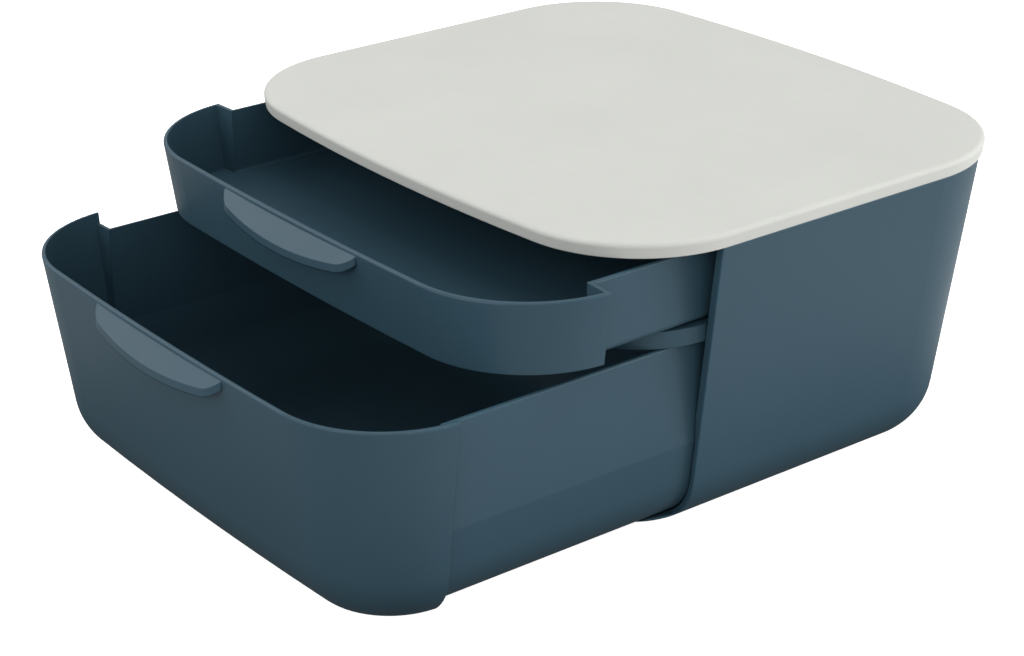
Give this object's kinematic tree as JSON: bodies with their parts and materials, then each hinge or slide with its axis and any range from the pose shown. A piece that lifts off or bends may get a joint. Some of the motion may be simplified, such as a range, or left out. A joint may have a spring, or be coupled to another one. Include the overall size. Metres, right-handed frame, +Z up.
{
  "type": "desktop file box with two drawers",
  "caption": "Bowl-shaped desktop file box with a flat rounded lid and two tray drawers of different depth that slide out to the front, each with a half-moon finger grip.",
  "frame": {"origin": "on the desk, under the middle of the bounding box of the box with its drawers pulled out as in the picture", "axes": "+X to the right seen from the front, -Y to the front, where the drawers slide out, +Z up"},
  "size_m": [0.368, 0.4711, 0.183],
  "materials": {
    "casing": "satin",
    "lid": "matte",
    "shelf": "satin",
    "drawers": "satin",
    "feet": "matte"
  },
  "bodies": {
    "box": {"casing": "casing", "lid": "lid", "divider_shelf": "shelf", "front_left_foot": "feet", "front_right_foot": "feet", "rear_left_foot": "feet", "rear_right_foot": "feet"},
    "upper_drawer": {"upper_drawer": "drawers"},
    "lower_drawer": {"lower_drawer": "drawers"}
  },
  "joints": [
    {"name": "upper_drawer_slide", "type": "slide", "parent": "box", "child": "upper_drawer", "axis": [0, -1, 0], "range_m": [-0.0715, 0.1285]},
    {"name": "lower_drawer_slide", "type": "slide", "parent": "box", "child": "lower_drawer", "axis": [0, -1, 0], "range_m": [-0.1596, 0.0404]}
  ]
}
